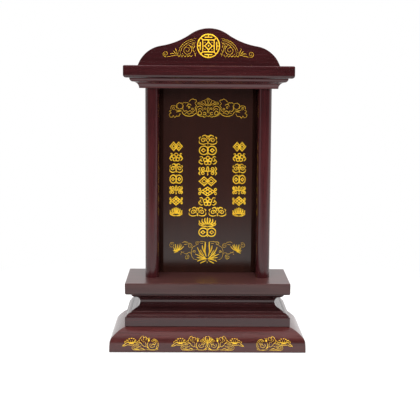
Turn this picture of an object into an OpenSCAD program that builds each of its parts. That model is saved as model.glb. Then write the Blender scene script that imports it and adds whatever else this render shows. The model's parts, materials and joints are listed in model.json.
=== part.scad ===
// Ancestor tablet: a lacquered wooden tablet on a stepped base, with mitred mouldings,
// a curved crest and a back cover that slides up out of its grooves.
// Sizes are in millimetres. +Z is up, the front faces -Y, and the origin is the middle
// of the footprint, on the table.

/* [Plinth] */
// Height of the plinth
plinth_h = 21.5; // [18:0.5:32]
// How far the plinth stands out past the riser, in front and at the sides
plinth_reach = 14; // [8:0.5:18]
// Height of the plinth's upright face
plinth_face_h = 1.2; // [1:0.1:6]
// Radius of the slow curve above that face, which runs on into the plinth's main curve
plinth_ease_r = 35; // [20:1:60]
// How far the slow curve leans back where the main curve takes over, in degrees
plinth_ease_lean = 9; // [4:0.5:14]
// Radius of the plinth's lowest edge
plinth_foot_r = 0.8; // [0.3:0.1:1.5]
// Width of the moulding strips round the plinth
plinth_strip = 24; // [20:0.5:30]

/* [Riser and deck] */
// Width of the riser and of the deck
deck_w = 158.5; // [145:0.5:200]
// Depth of the riser and of the deck, front to back
deck_d = 75; // [68:1:110]
// Height of the riser
riser_h = 9.5; // [6:0.5:16]
// Radius of the riser's edges
riser_edge_r = 0.4; // [0.2:0.1:1.5]
// Thickness of the deck
deck_h = 11.2; // [9:0.1:16]
// Radius of the deck's upper edge
deck_top_r = 0.4; // [0.2:0.1:2]
// Radius of the deck's lower edge
deck_foot_r = 1.2; // [0.3:0.1:3]
// Radius of the upright corners of the riser, the deck and the top board
board_corner_r = 0.6; // [0.2:0.1:3]

/* [Waist] */
// Width of the moulding strips round the waist
waist_strip = 20; // [17:0.5:24]
// How far the waist's foot stands in from the riser's edge
waist_foot_inset = 1.3; // [0.4:0.1:2]
// Height of the square fillet at the waist's foot
waist_fillet_h = 0.9; // [0.4:0.1:2]
// Width of the low round above that fillet
waist_round_w = 4.7; // [3:0.1:5.5]
// Height of the low round
waist_round_h = 2.6; // [1.5:0.1:4]
// Radius of the low round
waist_round_r = 6; // [4:0.1:12]
// Height of the upright step above the low round
waist_step_h = 1; // [0.5:0.1:2.5]
// Height of the slow curve that sweeps in to the hollow
waist_flare_h = 2.3; // [1:0.1:4]
// Radius of the slow curve
waist_flare_r = 40; // [20:1:60]
// Radius of the hollow under the deck
scotia_r = 5.6; // [4:0.1:6]
// Height of the round lip between the hollow and the cap fillet
scotia_lip_h = 2.2; // [1:0.1:3]
// Radius of that lip
scotia_lip_r = 12; // [3:0.5:20]
// How far the hollow's centre lies behind the cap fillet's face
scotia_inset = 2.6; // [1.5:0.1:4]
// How far the cap fillet stands in from the deck's edge
waist_cap_inset = 5.9; // [4:0.1:8]
// Height of the cap fillet
waist_cap_h = 1.5; // [0.8:0.1:3.5]

/* [Case] */
// Clear width between the two side boards
opening_w = 95.6; // [80:0.1:110]
// Thickness of a side board
side_t = 13.3; // [11:0.1:16]
// Depth of a side board, front to back
side_d = 47.6; // [40:0.1:56]
// Height of the case, from the deck to the bed moulding
case_h = 184.9; // [150:0.1:260]

/* [Panel and name board] */
// Thickness of the inscription panel's field
panel_t = 6; // [5:0.1:8]
// Width of the bevel at each side of the panel's field
panel_bevel_w = 3.7; // [2:0.1:8]
// How far the bevel falls back from the field's face, down to the tongue
panel_bevel_d = 2.5; // [1:0.1:3]
// Depth of the grooves that hold the panel
panel_groove = 3; // [2:0.1:3.2]
// Clearance between the panel's tongues and their grooves, all round
panel_play = 0.1; // [0.05:0.05:0.3]
// Thickness of the inner name board
name_t = 4.5; // [3.5:0.1:8]
// Free depth behind the name board, in the cell between the panel and the cover
name_back_gap = 2.2; // [2:0.1:6]
// Gap between the name board and each side board
name_side_gap = 3; // [0.5:0.5:20]
// Gap between the name board's top and the header
name_head_gap = 10; // [2:0.5:60]

/* [Back cover] */
// Thickness of the back cover
cover_t = 4; // [3:0.1:5]
// Depth of the grooves that the cover slides in
cover_groove = 4.6; // [3:0.1:5.5]
// Clearance between the cover's edges and the groove's floor, each side
cover_side_play = 0.3; // [0.2:0.05:0.6]
// Clearance between the cover's faces and the groove's walls, each side
cover_face_play = 0.15; // [0.1:0.05:0.4]
// Thickness of the lip behind the cover
lip_t = 2; // [1.2:0.1:4]
// Width of the thumb scoop in the cover's back
thumb_w = 30; // [20:1:50]
// Depth of the thumb scoop
thumb_depth = 1.8; // [1:0.1:2.2]
// Radius of the thumb scoop
thumb_r = 10; // [6:0.5:16]
// Distance from the cover's top edge to the middle of the thumb scoop
thumb_drop = 36; // [28:1:60]

/* [Cornice] */
// How far the top board stands out past the case, in front and at the sides
top_reach = 19.6; // [17:0.1:26]
// Thickness of the top board
top_h = 11.7; // [9:0.1:16]
// Radius of the top board's upper edge
top_edge_r = 1.4; // [0.3:0.1:2.5]
// Radius of the top board's lower edge
top_foot_r = 3; // [0.5:0.1:4]
// How far the header board stands out past the case, in front and at the sides
header_reach = 0.8; // [0.2:0.1:3]
// Thickness of the bed moulding at its foot
bed_foot_t = 4.4; // [2:0.1:6]
// Height of the square fillet at the bed moulding's foot
bed_foot_h = 0.4; // [0.2:0.1:2]
// Width of the hollow
bed_hollow_w = 5; // [3:0.1:7]
// Height of the hollow
bed_hollow_h = 5.6; // [3:0.1:7]
// Radius of the hollow
bed_hollow_r = 6; // [5:0.1:12]
// Width of the round above the hollow
bed_round_w = 3.8; // [2:0.1:5]
// Height of the round above the hollow
bed_round_h = 3.4; // [2:0.1:4.4]
// Radius of the round above the hollow
bed_round_r = 3.7; // [3.4:0.1:12]
// Height of the square fillet between the round and the top board
bed_cap_h = 0.3; // [0.1:0.1:2]

/* [Crest] */
// Width of the crest at its foot
crest_w = 135; // [115:1:150]
// Thickness of the crest
crest_t = 14; // [10:0.5:18]
// Distance from the top board's front edge back to the crest's face
crest_setback = 12.4; // [6:0.1:24]
// Half width of the crown's round
crown_half_w = 17.5; // [13:0.5:22]
// Width of the hollow beside the crown
crest_hollow_w = 28; // [20:0.5:33]
// Slope where the crown turns into the hollow, in degrees
crown_slope = 34.5; // [28:0.5:42]
// Slope where the hollow turns into the shoulder, in degrees
shoulder_slope = 9; // [4:0.5:16]
// Slope at the crest's foot, in degrees
crest_end_slope = 71; // [58:1:84]

/* [Dowels and screws] */
// Diameter of the dowels
dowel_d = 5; // [4:0.1:5.4]
// Clearance round a dowel
dowel_play = 0.05; // [0.02:0.01:0.15]
// Chamfer at a dowel's ends
dowel_chamfer = 0.6; // [0.2:0.1:1]
// Free length left at the top of a dowel's hole
dowel_end_play = 0.4; // [0.1:0.1:0.8]
// Distance from a side board's front edge to its first dowel
dowel_front_inset = 12; // [9:0.5:16]
// How deep the lower dowels go into the deck
dowel_deck_depth = 7; // [5:0.5:8]
// How deep dowels go into the ends of the side boards
dowel_side_depth = 14; // [10:1:20]
// How deep dowels go into the top board
dowel_top_depth = 6; // [4:0.5:7.5]
// How deep the crest's dowels go into the crest
dowel_crest_depth = 10; // [6:0.5:14]
// Distance from the middle of the crest to each of its dowels
crest_dowel_x = 38; // [20:1:44]
// Diameter of the screws that hold the base together
screw_d = 3.5; // [3:0.1:4.5]
// Clearance round a screw
screw_play = 0.1; // [0.05:0.05:0.3]
// Diameter of a screw's head
screw_head_d = 7; // [6:0.1:8.5]
// Height of a screw's head
screw_head_h = 2.4; // [2:0.1:3]
// Width of the cross recess in a screw's head
screw_cross_w = 1; // [0.6:0.1:1.4]
// Length of the cross recess in a screw's head
screw_cross_l = 4.2; // [3:0.1:5]
// Depth of the cross recess in a screw's head
screw_cross_depth = 1.4; // [0.8:0.1:1.8]
// Diameter of the counterbore round a screw's head
counterbore_d = 9; // [8.6:0.1:12]
// Depth of the counterbore
counterbore_depth = 12; // [6:0.5:14]
// How deep a screw goes into the deck
screw_bite = 7; // [5:0.5:8]
// Distance from a side board's inner face to the screws
screw_side_inset = 7; // [5:0.5:14]
// Distance from the ends of the waist's core to the screws
screw_end_inset = 14; // [10:0.5:20]

/* [Hidden] */
$fn = 48;

// Colours of the finishes
lacquer = [0.27, 0.10, 0.11];
panel_lacquer = [0.15, 0.08, 0.08];
bare_wood = [0.79, 0.63, 0.43];
screw_steel = [0.72, 0.72, 0.74];

// How far a cutting shape runs past the face that it cuts
over = 1;
// Angle at which the waist's slow curve runs into the hollow
scotia_foot_angle = -75;
// Points along small, middling and large arcs
small_arc = 6;
mid_arc = 10;
large_arc = 16;

// Plan: the back faces of all the pieces are flush
plinth_w = deck_w + 2 * plinth_reach;
plinth_d = deck_d + plinth_reach;
back_y = plinth_d / 2;
plinth_front = -plinth_d / 2;
deck_front = back_y - deck_d;
side_front = back_y - side_d;
case_w = opening_w + 2 * side_t;
top_w = case_w + 2 * top_reach;
top_d = side_d + top_reach;
top_front = back_y - top_d;
bed_strip = top_reach - header_reach;
bed_foot_inset = bed_strip - bed_foot_t;
side_x = (opening_w + side_t) / 2;

// Heights of the two mouldings that are stacked up from their members
scotia_h = scotia_r * (1 - sin(scotia_foot_angle));
waist_h = waist_fillet_h + waist_round_h + waist_step_h + waist_flare_h
    + scotia_h + scotia_lip_h + waist_cap_h;
bed_h = bed_foot_h + bed_hollow_h + bed_round_h + bed_cap_h;

// Heights at which the layers start
riser_z = plinth_h;
waist_z = riser_z + riser_h;
deck_z = waist_z + waist_h;
case_z = deck_z + deck_h;
bed_z = case_z + case_h;
top_z = bed_z + bed_h;
crest_z = top_z + top_h;

// Back to front: lip, cover groove, cell, panel groove
cover_gap = cover_t + 2 * cover_face_play;
cover_gap_y = back_y - lip_t - cover_gap;
cover_y = cover_gap_y + cover_face_play;
cover_w = opening_w + 2 * (cover_groove - cover_side_play);
cover_gap_w = opening_w + 2 * cover_groove;
cover_h = crest_z - case_z;
cell_d = name_t + name_back_gap;
cell_y = cover_gap_y - cell_d;
name_w = opening_w - 2 * name_side_gap;
name_h = case_h - name_head_gap;
panel_y = cell_y - panel_t;
panel_w = opening_w + 2 * (panel_groove - panel_play);
field_w = opening_w - 2 * panel_bevel_w;
tongue_t = panel_t - panel_bevel_d;
tongue_y = panel_y + panel_bevel_d;

// Places of the dowels and screws
dowel_ys = [side_front + dowel_front_inset, cell_y + cell_d / 2];
crest_front = top_front + crest_setback;
crest_mid_y = crest_front + crest_t / 2;
screw_x = opening_w / 2 - screw_side_inset;
screw_ys = [deck_front + waist_strip + screw_end_inset, back_y - screw_end_inset];

// Points on an arc round c, from angle a0 to angle a1
function arc(c, r, a0, a1, n) =
    [for (i = [0:n]) let (a = a0 + (a1 - a0) * i / n) c + r * [cos(a), sin(a)]];

// Points on the arc of radius r from p to q. It bulges to the left of the way from p to q,
// or to the right where r is negative.
function bow(p, q, r, n) =
    let (
        chord = q - p,
        half = norm(chord) / 2,
        right = [chord.y, -chord.x] / norm(chord),
        c = (p + q) / 2 + sign(r) * right * sqrt(r * r - half * half),
        a0 = atan2(p.y - c.y, p.x - c.x),
        sweep = 2 * sign(r) * asin(half / abs(r))
    )
    arc(c, abs(r), a0, a0 - sweep, n);

// A list of points without its first one
function tail(points) = [for (i = [1:len(points) - 1]) points[i]];

// Sections of the mouldings: x is the distance in from the outer edge, y is the height.
// The plinth's main curve starts with the lean at which its slow curve ends.
plinth_ease = arc([plinth_ease_r, plinth_face_h], plinth_ease_r, 180, 180 - plinth_ease_lean, small_arc);
plinth_curve_foot = plinth_ease[small_arc];
plinth_rise = [plinth_reach, plinth_h] - plinth_curve_foot;
plinth_curve_way = [cos(plinth_ease_lean), -sin(plinth_ease_lean)];
plinth_curve_r = (plinth_rise * plinth_rise) / (2 * plinth_rise * plinth_curve_way);
plinth_section = concat(
    arc([plinth_foot_r, plinth_foot_r], plinth_foot_r, 270, 180, small_arc),
    plinth_ease,
    tail(bow(plinth_curve_foot, [plinth_reach, plinth_h], plinth_curve_r, large_arc)),
    [[plinth_strip, plinth_h], [plinth_strip, 0]]
);

round_foot = [waist_foot_inset, waist_fillet_h];
round_top = round_foot + [waist_round_w, waist_round_h];
flare_foot = round_top + [0, waist_step_h];
cap_foot = [waist_cap_inset, waist_h - waist_cap_h];
scotia_centre = cap_foot + [scotia_inset, -scotia_lip_h - scotia_r];
scotia_points = arc(scotia_centre, scotia_r, scotia_foot_angle, 90, large_arc);
scotia_top = scotia_points[large_arc];
waist_section = concat(
    [[waist_foot_inset, 0]],
    bow(round_foot, round_top, waist_round_r, mid_arc),
    bow(flare_foot, scotia_points[0], -waist_flare_r, small_arc),
    tail(scotia_points),
    tail(bow(scotia_top, cap_foot, scotia_lip_r, small_arc)),
    [[waist_cap_inset, waist_h], [waist_strip, waist_h], [waist_strip, 0]]
);

hollow_foot = [bed_foot_inset, bed_foot_h];
hollow_top = hollow_foot + [-bed_hollow_w, bed_hollow_h];
bed_round_top = hollow_top + [-bed_round_w, bed_round_h];
bed_section = concat(
    [[bed_foot_inset, 0]],
    bow(hollow_foot, hollow_top, -bed_hollow_r, mid_arc),
    tail(bow(hollow_top, bed_round_top, bed_round_r, mid_arc)),
    [[bed_round_top.x, bed_h], [bed_strip, bed_h], [bed_strip, 0]]
);

// Half of the crest's outline: three arcs that run on into each other
crown_r = crown_half_w / sin(crown_slope);
crest_hollow_r = crest_hollow_w / (sin(crown_slope) - sin(shoulder_slope));
shoulder_w = crest_w / 2 - crown_half_w - crest_hollow_w;
shoulder_r = shoulder_w / (sin(crest_end_slope) - sin(shoulder_slope));
crown_drop = crown_r * (1 - cos(crown_slope));
hollow_drop = crest_hollow_r * (cos(shoulder_slope) - cos(crown_slope));
shoulder_drop = shoulder_r * (cos(shoulder_slope) - cos(crest_end_slope));
crest_h = crown_drop + hollow_drop + shoulder_drop;
crown_c = [0, crest_h - crown_r];
hollow_c = crown_c + (crown_r + crest_hollow_r) * [sin(crown_slope), cos(crown_slope)];
shoulder_c = hollow_c - (crest_hollow_r + shoulder_r) * [sin(shoulder_slope), cos(shoulder_slope)];
crest_half = concat(
    arc(crown_c, crown_r, 90, 90 - crown_slope, large_arc),
    tail(arc(hollow_c, crest_hollow_r, 270 - crown_slope, 270 - shoulder_slope, mid_arc)),
    tail(arc(shoulder_c, shoulder_r, 90 - shoulder_slope, 90 - crest_end_slope, large_arc))
);
crest_outline = concat(
    crest_half,
    [for (i = [len(crest_half) - 1:-1:1]) [-crest_half[i].x, crest_half[i].y]]
);

// Extrudes an outline drawn in width and height along Y, from y = 0 to y = length
module along_y(outline, length) {
    translate([0, length, 0])
        rotate([90, 0, 0])
            linear_extrude(length)
                polygon(outline);
}

// Extrudes an outline drawn in depth and height along X, from x = 0 to x = length
module along_x(outline, length) {
    rotate([90, 0, 90])
        linear_extrude(length)
            polygon(outline);
}

// The strip of a moulding that runs along the front, mitred at both ends
module front_strip(section, w, strip, h) {
    far = strip + over;
    intersection() {
        translate([-w / 2 - over, 0, 0])
            along_x(section, w + 2 * over);
        translate([0, 0, -over])
            linear_extrude(h + 2 * over)
                polygon([
                    [-w / 2 - over, -over], [w / 2 + over, -over],
                    [w / 2 - far, far], [-w / 2 + far, far]
                ]);
    }
}

// The strip of a moulding that runs back along the left side, mitred at the front
module side_strip(section, w, strip, h, d) {
    far = strip + over;
    translate([-w / 2, 0, 0])
        intersection() {
            translate([0, -over, 0])
                along_y(section, d + over);
            translate([0, 0, -over])
                linear_extrude(h + 2 * over)
                    polygon([[-over, -over], [far, far], [far, d + over], [-over, d + over]]);
        }
}

// A board with rounded front and side edges and a square back, its front at y = 0
module eased_board(w, d, h, top_r, foot_r) {
    corner = [w / 2 - board_corner_r, board_corner_r];
    plan = concat(
        arc([-corner.x, corner.y], board_corner_r, 180, 270, small_arc),
        arc(corner, board_corner_r, 270, 360, small_arc),
        [[w / 2, d], [-w / 2, d]]
    );
    foot = arc([foot_r, foot_r], foot_r, 270, 180, small_arc);
    top = arc([top_r, h - top_r], top_r, 180, 90, small_arc);
    edge = concat(foot, top);
    far_edge = [for (i = [len(edge) - 1:-1:0]) [w - edge[i].x, edge[i].y]];
    intersection() {
        translate([-w / 2 - over, 0, 0])
            along_x(concat(edge, [[d, h], [d, 0]]), w + 2 * over);
        translate([-w / 2, -over, 0])
            along_y(concat(edge, far_edge), d + 2 * over);
        linear_extrude(h)
            polygon(plan);
    }
}

// The block inside a ring of moulding strips
module core_block(w, d, strip, h) {
    translate([-w / 2 + strip, strip, 0])
        cube([w - 2 * strip, d - strip, h]);
}

module at_screws() {
    for (x = [-screw_x, screw_x], y = screw_ys)
        translate([x, y, 0])
            children();
}

module at_side_dowels() {
    for (x = [-side_x, side_x], y = dowel_ys)
        translate([x, y, 0])
            children();
}

module at_crest_dowels() {
    for (x = [-crest_dowel_x, crest_dowel_x])
        translate([x, crest_mid_y, crest_z])
            children();
}

// The holes of all four screws, from the floor up into the deck
module screw_holes() {
    at_screws() {
        translate([0, 0, -over])
            cylinder(h = deck_z + screw_bite + over, d = screw_d + 2 * screw_play);
        translate([0, 0, -over])
            cylinder(h = counterbore_depth + over, d = counterbore_d);
    }
}

module dowel_hole(z0, z1) {
    translate([0, 0, z0])
        cylinder(h = z1 - z0, d = dowel_d + 2 * dowel_play);
}

module lower_dowel_holes() {
    at_side_dowels()
        dowel_hole(case_z - dowel_deck_depth, case_z + dowel_side_depth);
}

module upper_dowel_holes() {
    at_side_dowels()
        dowel_hole(bed_z - dowel_side_depth, top_z + dowel_top_depth);
}

module crest_dowel_holes() {
    at_crest_dowels()
        dowel_hole(-dowel_top_depth, dowel_crest_depth);
}

// A dowel with chamfered ends that stands on the floor of its hole
module dowel(z0, z1) {
    r = dowel_d / 2;
    length = z1 - z0 - dowel_end_play;
    translate([0, 0, z0])
        rotate_extrude()
            polygon([
                [0, 0], [r - dowel_chamfer, 0], [r, dowel_chamfer],
                [r, length - dowel_chamfer], [r - dowel_chamfer, length], [0, length]
            ]);
}

// The slot that the cover slides in, cut through everything above the deck
module cover_slot(z0, z1, y1) {
    translate([-cover_gap_w / 2, cover_gap_y, z0])
        cube([cover_gap_w, y1 - cover_gap_y, z1 - z0]);
}

module plinth_core() {
    color(lacquer)
        difference() {
            translate([0, plinth_front, 0])
                core_block(plinth_w, plinth_d, plinth_strip, plinth_h);
            screw_holes();
        }
}

module plinth_front_moulding() {
    color(lacquer)
        translate([0, plinth_front, 0])
            front_strip(plinth_section, plinth_w, plinth_strip, plinth_h);
}

module plinth_left_moulding() {
    color(lacquer)
        translate([0, plinth_front, 0])
            side_strip(plinth_section, plinth_w, plinth_strip, plinth_h, plinth_d);
}

module plinth_right_moulding() {
    mirror([1, 0, 0])
        plinth_left_moulding();
}

module riser_board() {
    color(lacquer)
        difference() {
            translate([0, deck_front, riser_z])
                eased_board(deck_w, deck_d, riser_h, riser_edge_r, riser_edge_r);
            screw_holes();
        }
}

module waist_core() {
    color(lacquer)
        difference() {
            translate([0, deck_front, waist_z])
                core_block(deck_w, deck_d, waist_strip, waist_h);
            screw_holes();
        }
}

module waist_front_moulding() {
    color(lacquer)
        translate([0, deck_front, waist_z])
            front_strip(waist_section, deck_w, waist_strip, waist_h);
}

module waist_left_moulding() {
    color(lacquer)
        translate([0, deck_front, waist_z])
            side_strip(waist_section, deck_w, waist_strip, waist_h, deck_d);
}

module waist_right_moulding() {
    mirror([1, 0, 0])
        waist_left_moulding();
}

module deck_board() {
    color(lacquer)
        difference() {
            translate([0, deck_front, deck_z])
                eased_board(deck_w, deck_d, deck_h, deck_top_r, deck_foot_r);
            screw_holes();
            lower_dowel_holes();
        }
}

// A side board: its front edge is a full half round, and its inner face has two grooves
module left_side_board() {
    r = side_t / 2;
    plan = concat(
        arc([r, r], r, 180, 360, large_arc),
        [[side_t, side_d], [0, side_d]]
    );
    color(lacquer)
        difference() {
            translate([-case_w / 2, side_front, case_z])
                linear_extrude(case_h)
                    polygon(plan);
            translate([-opening_w / 2 - panel_groove, tongue_y - panel_play, case_z - over])
                cube([panel_groove + over, tongue_t + 2 * panel_play, case_h + 2 * over]);
            cover_slot(case_z - over, bed_z + over, cover_gap_y + cover_gap);
            lower_dowel_holes();
            upper_dowel_holes();
        }
}

module right_side_board() {
    mirror([1, 0, 0])
        left_side_board();
}

// The panel: a raised field with a bevel at each side, down to the tongues in the grooves
module inscription_panel() {
    half = [
        [field_w / 2, 0], [opening_w / 2, panel_bevel_d], [panel_w / 2, panel_bevel_d],
        [panel_w / 2, panel_t]
    ];
    far_half = [for (i = [len(half) - 1:-1:0]) [-half[i].x, half[i].y]];
    color(panel_lacquer)
        translate([0, panel_y, case_z])
            linear_extrude(case_h)
                polygon(concat(half, far_half));
}

module inner_name_board() {
    color(bare_wood)
        translate([-name_w / 2, cell_y, case_z])
            cube([name_w, name_t, name_h]);
}

module back_cover() {
    scoop_z = crest_z - thumb_drop;
    color(lacquer)
        difference() {
            translate([-cover_w / 2, cover_y, case_z])
                cube([cover_w, cover_t, cover_h]);
            translate([-thumb_w / 2, cover_y + cover_t - thumb_depth + thumb_r, scoop_z])
                rotate([0, 90, 0])
                    cylinder(h = thumb_w, r = thumb_r);
        }
}

module header_board() {
    color(lacquer)
        difference() {
            translate([0, top_front, bed_z])
                core_block(top_w, top_d, bed_strip, bed_h);
            cover_slot(bed_z - over, top_z + over, back_y + over);
            upper_dowel_holes();
        }
}

module bed_front_moulding() {
    color(lacquer)
        translate([0, top_front, bed_z])
            front_strip(bed_section, top_w, bed_strip, bed_h);
}

module bed_left_moulding() {
    color(lacquer)
        translate([0, top_front, bed_z])
            side_strip(bed_section, top_w, bed_strip, bed_h, top_d);
}

module bed_right_moulding() {
    mirror([1, 0, 0])
        bed_left_moulding();
}

module top_board() {
    color(lacquer)
        difference() {
            translate([0, top_front, top_z])
                eased_board(top_w, top_d, top_h, top_edge_r, top_foot_r);
            cover_slot(top_z - over, crest_z + over, back_y + over);
            upper_dowel_holes();
            crest_dowel_holes();
        }
}

module crest_board() {
    color(lacquer)
        difference() {
            translate([0, crest_front, crest_z])
                along_y(crest_outline, crest_t);
            crest_dowel_holes();
        }
}

module lower_dowels() {
    color(bare_wood)
        at_side_dowels()
            dowel(case_z - dowel_deck_depth, case_z + dowel_side_depth);
}

module upper_dowels() {
    color(bare_wood)
        at_side_dowels()
            dowel(bed_z - dowel_side_depth, top_z + dowel_top_depth);
}

module crest_dowels() {
    color(bare_wood)
        at_crest_dowels()
            dowel(-dowel_top_depth, dowel_crest_depth);
}

// A screw whose head bears on the floor of its counterbore
module base_screw() {
    head_z = counterbore_depth - screw_head_h;
    difference() {
        union() {
            translate([0, 0, head_z])
                cylinder(h = screw_head_h, d = screw_head_d);
            translate([0, 0, head_z])
                cylinder(h = deck_z + screw_bite - head_z, d = screw_d);
        }
        for (turn = [0, 90])
            translate([0, 0, head_z])
                rotate([0, 0, turn])
                    cube([screw_cross_l, screw_cross_w, 2 * screw_cross_depth], center = true);
    }
}

module base_screws() {
    color(screw_steel)
        at_screws()
            base_screw();
}

plinth_core();
plinth_front_moulding();
plinth_left_moulding();
plinth_right_moulding();
riser_board();
waist_core();
waist_front_moulding();
waist_left_moulding();
waist_right_moulding();
deck_board();
left_side_board();
right_side_board();
inscription_panel();
inner_name_board();
back_cover();
header_board();
bed_front_moulding();
bed_left_moulding();
bed_right_moulding();
top_board();
crest_board();
lower_dowels();
upper_dowels();
crest_dowels();
base_screws();
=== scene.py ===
import json
from math import cos, hypot, pi, radians, sin

import bmesh
import bpy
from mathutils import Matrix, Vector

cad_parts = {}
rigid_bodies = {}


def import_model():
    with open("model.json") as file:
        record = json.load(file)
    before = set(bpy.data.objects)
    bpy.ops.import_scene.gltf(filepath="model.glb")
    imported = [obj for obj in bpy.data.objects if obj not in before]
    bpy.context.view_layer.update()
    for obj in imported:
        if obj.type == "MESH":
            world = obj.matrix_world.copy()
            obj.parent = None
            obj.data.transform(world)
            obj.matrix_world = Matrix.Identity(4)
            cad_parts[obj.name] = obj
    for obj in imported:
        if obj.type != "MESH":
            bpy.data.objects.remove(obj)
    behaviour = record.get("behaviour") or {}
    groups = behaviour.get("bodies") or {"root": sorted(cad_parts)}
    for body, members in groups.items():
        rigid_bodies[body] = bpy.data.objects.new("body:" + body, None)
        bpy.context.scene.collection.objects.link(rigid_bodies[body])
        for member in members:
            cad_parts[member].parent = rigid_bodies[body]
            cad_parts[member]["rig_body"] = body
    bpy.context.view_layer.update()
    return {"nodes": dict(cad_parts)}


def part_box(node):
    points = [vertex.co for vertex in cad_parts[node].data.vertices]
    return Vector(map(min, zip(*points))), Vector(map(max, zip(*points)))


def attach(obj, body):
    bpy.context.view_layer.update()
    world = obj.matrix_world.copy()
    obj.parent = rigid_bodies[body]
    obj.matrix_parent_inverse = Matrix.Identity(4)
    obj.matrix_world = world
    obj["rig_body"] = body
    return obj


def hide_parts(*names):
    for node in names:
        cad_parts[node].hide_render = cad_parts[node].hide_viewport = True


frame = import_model()

# Looks of a lacquered ancestor tablet: stained wood with eased arrises, a near-black panel,
# and thin raised gilt line work on the crest, the panel and the plinth.
# Objects are in metres. Ornaments are drawn in millimetres: across from the middle line,
# and up from the foot of the piece that carries them, to a tenth of a millimetre.

mm = 0.001

# Finishes, as linear colours
STAIN_DEEP = (0.0275, 0.0050, 0.0062)
STAIN_WARM = (0.0415, 0.0076, 0.0090)
STAIN_WORN = (0.075, 0.0280, 0.0260)
PANEL_DEEP = (0.0165, 0.0062, 0.0046)
PANEL_WARM = (0.0225, 0.0078, 0.0053)
BARE_DEEP = (0.48, 0.29, 0.14)
BARE_WARM = (0.66, 0.45, 0.25)
ZINC_DULL = (0.40, 0.41, 0.42)
ZINC_BRIGHT = (0.62, 0.63, 0.65)
GILT_DEEP = (0.66, 0.375, 0.026)
GILT_BRIGHT = (0.96, 0.62, 0.042)
GILT_SHEEN = (1.0, 0.70, 0.20)

# Gloss of the finishes; pairs run from a finish's first tone to its second
LACQUER_IOR = 1.53
LACQUER_ROUGHNESS = 0.18
DECK_ROUGHNESS = 0.33
PANEL_ROUGHNESS = 0.18
BARE_ROUGHNESS = 0.60
ZINC_ROUGHNESS = (0.50, 0.25)
GILT_ROUGHNESS = (0.50, 0.36)
GILT_METAL = 0.2

# How strongly the grain shows as relief, how deep the relief is, and the share of the grain's tone
# that the panel shows
LACQUER_RELIEF, PANEL_RELIEF, BARE_RELIEF = 0.12, 0.10, 0.40
RELIEF_DEPTH = 0.05 * mm
PANEL_FIGURE = 0.35

# Patterns: repeats in a metre, the span of the noise that is used, and what that span gives
WEAR_SCALE, ZINC_SCALE, GILT_SCALE = 75, 900, 260
NOISE_SPAN, PORE_SPAN, WEAR_SPAN, GILT_SPAN = (0.3, 0.7), (0.28, 0.40), (0.22, 0.66), (0.3, 0.6)
FIBRE_TONE, PORE_TONE = (0.84, 1.16), (0.72, 1.0)
FIBRE_ROUGHNESS = (-0.03, 0.03)
WEAR_TONE = (0.0, 0.45)

# Eased arrises: their radius, the least angle of an arris, and how near the outside of a board it lies
ARRIS_R = 0.35 * mm
ARRIS_ANGLE = radians(25)
ARRIS_NEAR = 3 * mm
ARRIS_SEGMENTS = 3
# Angles under which faces shade as one or count as one flat face, and the gap that is merged
SMOOTH_ANGLE = radians(35)
FLAT_ANGLE = radians(0.5)
MERGE_GAP = 0.002 * mm

# Heights on the plinth's curve: its upright face is drawn up, and the bend above it gets tighter
FACE_FOOT, FACE_TOP, BEND_TOP = 1.0 * mm, 6.7 * mm, 18.5 * mm
FACE_DRAW = 3.2 * mm

# Edges of the deck and the riser that are worked rounder: the solid's radius, and times larger
ROUNDED = {
    "deck_board": {"top": (0.4 * mm, 2.2), "foot": (1.2 * mm, 1.8)},
    "riser_board": {"top": (0.4 * mm, 2.2), "foot": (0.4 * mm, 1.5)},
}
ROUND_REACH = 0.01 * mm

# Way of the grain in each lacquered piece
GRAIN = {
    "plinth_core": "X", "plinth_front_moulding": "X",
    "plinth_left_moulding": "Y", "plinth_right_moulding": "Y",
    "riser_board": "X",
    "waist_core": "X", "waist_front_moulding": "X",
    "waist_left_moulding": "Y", "waist_right_moulding": "Y",
    "deck_board": "X",
    "left_side_board": "Z", "right_side_board": "Z", "back_cover": "Z",
    "header_board": "X", "bed_front_moulding": "X",
    "bed_left_moulding": "Y", "bed_right_moulding": "Y",
    "top_board": "X", "crest_board": "X",
}
# Lacquered pieces inside the tablet, which keep the solid's own mesh
PLAIN_NODES = ("plinth_core", "waist_core", "header_board")
# Shares of the stain's red, green and blue for some pieces, partly their own tone and partly painted light.
# The waist moulding is darkened as painted shade under the deck. The deck is made greener and bluer as a
# painted reflection of the panel and its gilt. The plinth mouldings get more green and blue as a painted
# reflection on their curved tops. The other pieces are only made lighter or darker.
STAIN_AND_PAINTED_LIGHT = {
    "plinth_front_moulding": (1.30, 1.65, 1.30),
    "plinth_left_moulding": (1.30, 1.65, 1.30),
    "plinth_right_moulding": (1.30, 1.65, 1.30),
    "riser_board": (0.80, 0.85, 0.85),
    "waist_front_moulding": (0.75, 1.0, 0.9),
    "deck_board": (1.18, 2.4, 1.9),
    "left_side_board": (1.12, 1.12, 1.12),
    "right_side_board": (1.12, 1.12, 1.12),
    "bed_front_moulding": (1.45, 1.6, 1.5),
    "top_board": (0.82, 0.82, 0.82),
    "crest_board": (0.82, 0.82, 0.82),
}
# Turn that brings the X axis of the grain pattern to each way of the grain
GRAIN_TURN = {"X": (0, 0, 0), "Y": (0, 0, pi / 2), "Z": (0, pi / 2, 0)}
AXES = {"X": Vector((1, 0, 0)), "Y": Vector((0, 1, 0)), "Z": Vector((0, 0, 1))}
# Step of the grain pattern from one lacquered piece to the next, and its place in the panel
BOARD_SHIFT = (0.37, 0.053, 0.029)
PANEL_SHIFT = (0.6, 0.1, 0.2)


# Small helpers for objects and node trees

def link(obj):
    """Puts an object into the scene."""
    bpy.context.scene.collection.objects.link(obj)
    return obj


def use_material(obj, material):
    """Gives an object one material."""
    obj.data.materials.clear()
    obj.data.materials.append(material)


def rgba(colour):
    """A colour with full opacity."""
    return (*colour, 1.0)


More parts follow.
